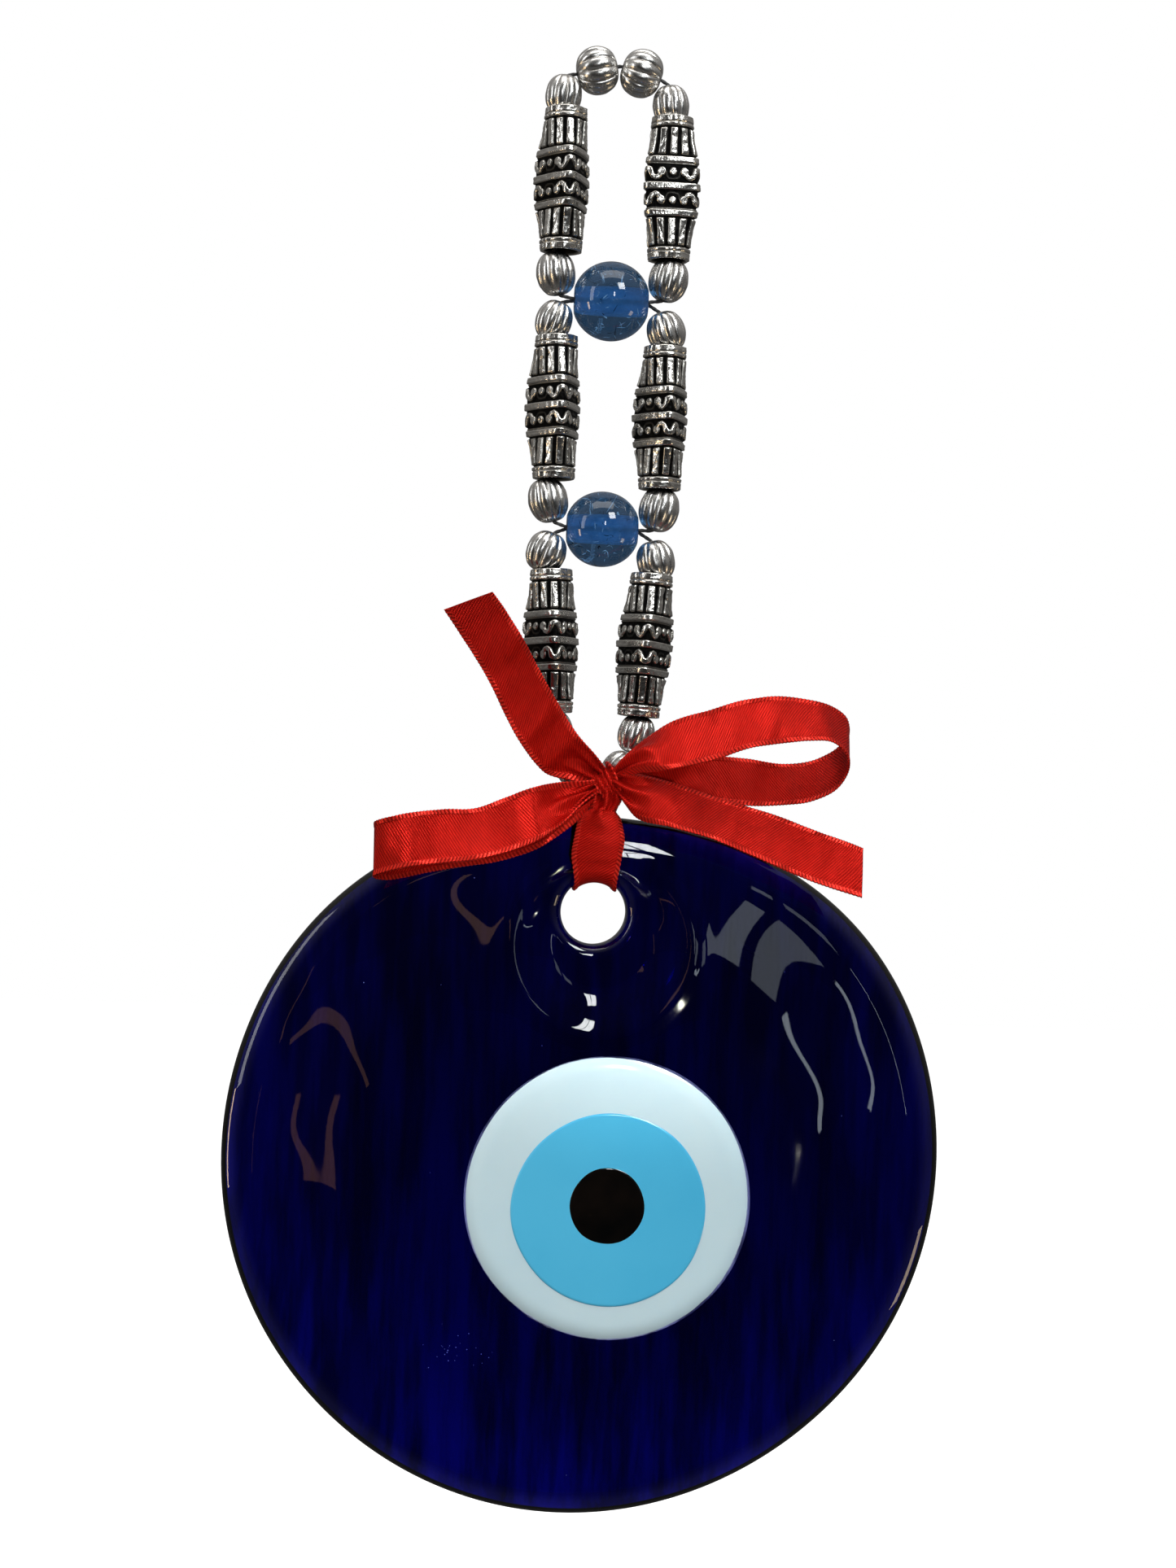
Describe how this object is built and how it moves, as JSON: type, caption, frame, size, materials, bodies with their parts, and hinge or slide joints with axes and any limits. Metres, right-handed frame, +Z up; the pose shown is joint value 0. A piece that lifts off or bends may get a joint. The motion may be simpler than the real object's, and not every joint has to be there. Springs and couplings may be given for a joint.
{
  "type": "evil eye ornament",
  "caption": "Hanging evil eye ornament: a cobalt glass disc with a poured white, blue and black eye, tied with a red satin ribbon bow to a beaded silver and blue hanger.",
  "frame": {"origin": "the hanging point, where the thread runs over a nail or hook between the two topmost beads", "axes": "+Z up, +X to the right seen from the front, the front with the eye faces -Y"},
  "size_m": [0.1332, 0.0225, 0.2726],
  "materials": {
    "worn_silver": "cast white metal with an antique silver wash, polished on the high spots and black in the recesses",
    "crackle_glass": "clear blue crackle glass with a frosted bore",
    "black_thread": "waxed black cord",
    "red_satin": "bright red satin ribbon with woven edges",
    "cobalt_glass": "thick hand-poured cobalt glass with fire-polished edges",
    "white_glass": "opaque white glass, poured, glossy",
    "light_blue_glass": "opaque light blue glass, poured, glossy",
    "black_glass": "black glass drop, poured, glossy"
  },
  "bodies": {
    "hanger_top": {"thread_upper_link": "black_thread"},
    "hanger_middle": {"thread_middle_link_left": "black_thread", "thread_middle_link_right": "black_thread"},
    "hanger_bottom": {"thread_lower_link": "black_thread", "ribbon_knot": "red_satin", "ribbon_tail_left": "red_satin", "ribbon_tail_right": "red_satin", "ribbon_loop_left": "red_satin", "ribbon_loop_right": "red_satin"},
    "hole_ring": {"ribbon_hole_loop": "red_satin"},
    "disc": {"glass_disc": "cobalt_glass", "eye_white": "white_glass", "eye_light_blue": "light_blue_glass", "eye_pupil": "black_glass"},
    "turning_bead_apex_left": {"bead_apex_left": "worn_silver"},
    "turning_bead_apex_right": {"bead_apex_right": "worn_silver"},
    "turning_bead_upper_left_1": {"bead_upper_left_1": "worn_silver"},
    "turning_tube_upper_left": {"tube_upper_left": "worn_silver"},
    "turning_bead_upper_left_2": {"bead_upper_left_2": "worn_silver"},
    "turning_bead_upper_right_1": {"bead_upper_right_1": "worn_silver"},
    "turning_tube_upper_right": {"tube_upper_right": "worn_silver"},
    "turning_bead_upper_right_2": {"bead_upper_right_2": "worn_silver"},
    "turning_cross_bead_upper": {"cross_bead_upper": "crackle_glass"},
    "turning_bead_middle_left_1": {"bead_middle_left_1": "worn_silver"},
    "turning_tube_middle_left": {"tube_middle_left": "worn_silver"},
    "turning_bead_middle_left_2": {"bead_middle_left_2": "worn_silver"},
    "turning_bead_middle_right_1": {"bead_middle_right_1": "worn_silver"},
    "turning_tube_middle_right": {"tube_middle_right": "worn_silver"},
    "turning_bead_middle_right_2": {"bead_middle_right_2": "worn_silver"},
    "turning_cross_bead_lower": {"cross_bead_lower": "crackle_glass"},
    "turning_bead_lower_left_1": {"bead_lower_left_1": "worn_silver"},
    "turning_tube_lower_left": {"tube_lower_left": "worn_silver"},
    "turning_bead_lower_left_2": {"bead_lower_left_2": "worn_silver"},
    "turning_bead_lower_left_3": {"bead_lower_left_3": "worn_silver"},
    "turning_bead_lower_right_1": {"bead_lower_right_1": "worn_silver"},
    "turning_tube_lower_right": {"tube_lower_right": "worn_silver"},
    "turning_bead_lower_right_2": {"bead_lower_right_2": "worn_silver"},
    "turning_bead_lower_right_3": {"bead_lower_right_3": "worn_silver"}
  },
  "joints": [
    {"name": "fold_upper", "type": "hinge", "parent": "hanger_top", "child": "hanger_middle", "pos_m": [-0.00006, 0, -0.04381], "axis": [1, 0, 0], "range_deg": [-45, 45]},
    {"name": "fold_lower", "type": "hinge", "parent": "hanger_middle", "child": "hanger_bottom", "pos_m": [-0.00032, 0, -0.08627], "axis": [1, 0, 0], "range_deg": [-45, 45]},
    {"name": "disc_tip", "type": "hinge", "parent": "hanger_bottom", "child": "hole_ring", "pos_m": [0.0008, -0.0027, -0.1376], "axis": [1, 0, 0], "range_deg": [-25, 25], "deforming": ["ribbon_loop_left", "ribbon_tail_right"]},
    {"name": "disc_swing", "type": "hinge", "parent": "hole_ring", "child": "disc", "pos_m": [0.00037, 0, -0.15735], "axis": [0, 1, 0], "range_deg": [-15, 15]},
    {"name": "spin_bead_apex_left", "type": "hinge", "parent": "hanger_top", "child": "turning_bead_apex_left", "pos_m": [-0.00405, 0, -0.00095], "axis": [-0.9752, 0, -0.2213], "continuous": true},
    {"name": "spin_bead_apex_right", "type": "hinge", "parent": "hanger_top", "child": "turning_bead_apex_right", "pos_m": [0.00425, 0, -0.0011], "axis": [0.9586, 0, -0.2846], "continuous": true},
    {"name": "spin_bead_upper_left_1", "type": "hinge", "parent": "hanger_top", "child": "turning_bead_upper_left_1", "pos_m": [-0.01015, 0, -0.00585], "axis": [0.1144, 0, 0.9934], "continuous": true},
    {"name": "spin_tube_upper_left", "type": "hinge", "parent": "hanger_top", "child": "turning_tube_upper_left", "pos_m": [-0.00959, 0, -0.02169], "axis": [0.007, 0, 1], "continuous": true},
    {"name": "spin_bead_upper_left_2", "type": "hinge", "parent": "hanger_top", "child": "turning_bead_upper_left_2", "pos_m": [-0.0105, 0, -0.03905], "axis": [-0.1497, 0, 0.9887], "continuous": true},
    {"name": "spin_bead_upper_right_1", "type": "hinge", "parent": "hanger_top", "child": "turning_bead_upper_right_1", "pos_m": [0.0099, 0, -0.0069], "axis": [-0.1196, 0, 0.9928], "continuous": true},
    {"name": "spin_tube_upper_right", "type": "hinge", "parent": "hanger_top", "child": "turning_tube_upper_right", "pos_m": [0.0103, 0, -0.02255], "axis": [-0.003, 0, 1], "continuous": true},
    {"name": "spin_bead_upper_right_2", "type": "hinge", "parent": "hanger_top", "child": "turning_bead_upper_right_2", "pos_m": [0.0105, 0, -0.0394], "axis": [0.201, 0, 0.9796], "continuous": true},
    {"name": "spin_cross_bead_upper", "type": "hinge", "parent": "hanger_top", "child": "turning_cross_bead_upper", "pos_m": [-0.00006, 0, -0.04381], "axis": [1, 0, 0], "continuous": true},
    {"name": "spin_bead_middle_left_1", "type": "hinge", "parent": "hanger_middle", "child": "turning_bead_middle_left_1", "pos_m": [-0.0106, 0, -0.0479], "axis": [0.3248, 0, 0.9458], "continuous": true},
    {"name": "spin_tube_middle_left", "type": "hinge", "parent": "hanger_middle", "child": "turning_tube_middle_left", "pos_m": [-0.00978, 0, -0.064], "axis": [-0.0103, 0, 0.9999], "continuous": true},
    {"name": "spin_bead_middle_left_2", "type": "hinge", "parent": "hanger_middle", "child": "turning_bead_middle_left_2", "pos_m": [-0.01055, 0, -0.08125], "axis": [-0.2556, 0, 0.9668], "continuous": true},
    {"name": "spin_bead_middle_right_1", "type": "hinge", "parent": "hanger_middle", "child": "turning_bead_middle_right_1", "pos_m": [0.01042, 0, -0.04908], "axis": [-0.3355, 0, 0.942], "continuous": true},
    {"name": "spin_tube_middle_right", "type": "hinge", "parent": "hanger_middle", "child": "turning_tube_middle_right", "pos_m": [0.01027, 0, -0.06523], "axis": [0.0097, 0, 1], "continuous": true},
    {"name": "spin_bead_middle_right_2", "type": "hinge", "parent": "hanger_middle", "child": "turning_bead_middle_right_2", "pos_m": [0.01015, 0, -0.0822], "axis": [0.2102, 0, 0.9777], "continuous": true},
    {"name": "spin_cross_bead_lower", "type": "hinge", "parent": "hanger_middle", "child": "turning_cross_bead_lower", "pos_m": [-0.00032, 0, -0.08627], "axis": [1, 0, 0], "continuous": true},
    {"name": "spin_bead_lower_left_1", "type": "hinge", "parent": "hanger_bottom", "child": "turning_bead_lower_left_1", "pos_m": [-0.0106, 0, -0.0909], "axis": [0.3477, 0, 0.9376], "continuous": true},
    {"name": "spin_tube_lower_left", "type": "hinge", "parent": "hanger_bottom", "child": "turning_tube_lower_left", "pos_m": [-0.00902, 0, -0.1074], "axis": [-0.0332, 0, 0.9994], "continuous": true},
    {"name": "spin_bead_lower_left_2", "type": "hinge", "parent": "hanger_bottom", "child": "turning_bead_lower_left_2", "pos_m": [-0.00816, 0, -0.12405], "axis": [-0.2844, 0, 0.9587], "continuous": true},
    {"name": "spin_bead_lower_left_3", "type": "hinge", "parent": "hanger_bottom", "child": "turning_bead_lower_left_3", "pos_m": [-0.00361, 0, -0.13103], "axis": [-0.6502, 0, 0.7597], "continuous": true},
    {"name": "spin_bead_lower_right_1", "type": "hinge", "parent": "hanger_bottom", "child": "turning_bead_lower_right_1", "pos_m": [0.00987, 0, -0.0918], "axis": [-0.2447, 0, 0.9696], "continuous": true},
    {"name": "spin_tube_lower_right", "type": "hinge", "parent": "hanger_bottom", "child": "turning_tube_lower_right", "pos_m": [0.00842, 0, -0.10758], "axis": [0.0647, 0, 0.9979], "continuous": true},
    {"name": "spin_bead_lower_right_2", "type": "hinge", "parent": "hanger_bottom", "child": "turning_bead_lower_right_2", "pos_m": [0.00727, 0, -0.12416], "axis": [0.2846, 0, 0.9586], "continuous": true},
    {"name": "spin_bead_lower_right_3", "type": "hinge", "parent": "hanger_bottom", "child": "turning_bead_lower_right_3", "pos_m": [0.00465, 0, -0.13113], "axis": [0.5169, 0, 0.8561], "continuous": true}
  ]
}
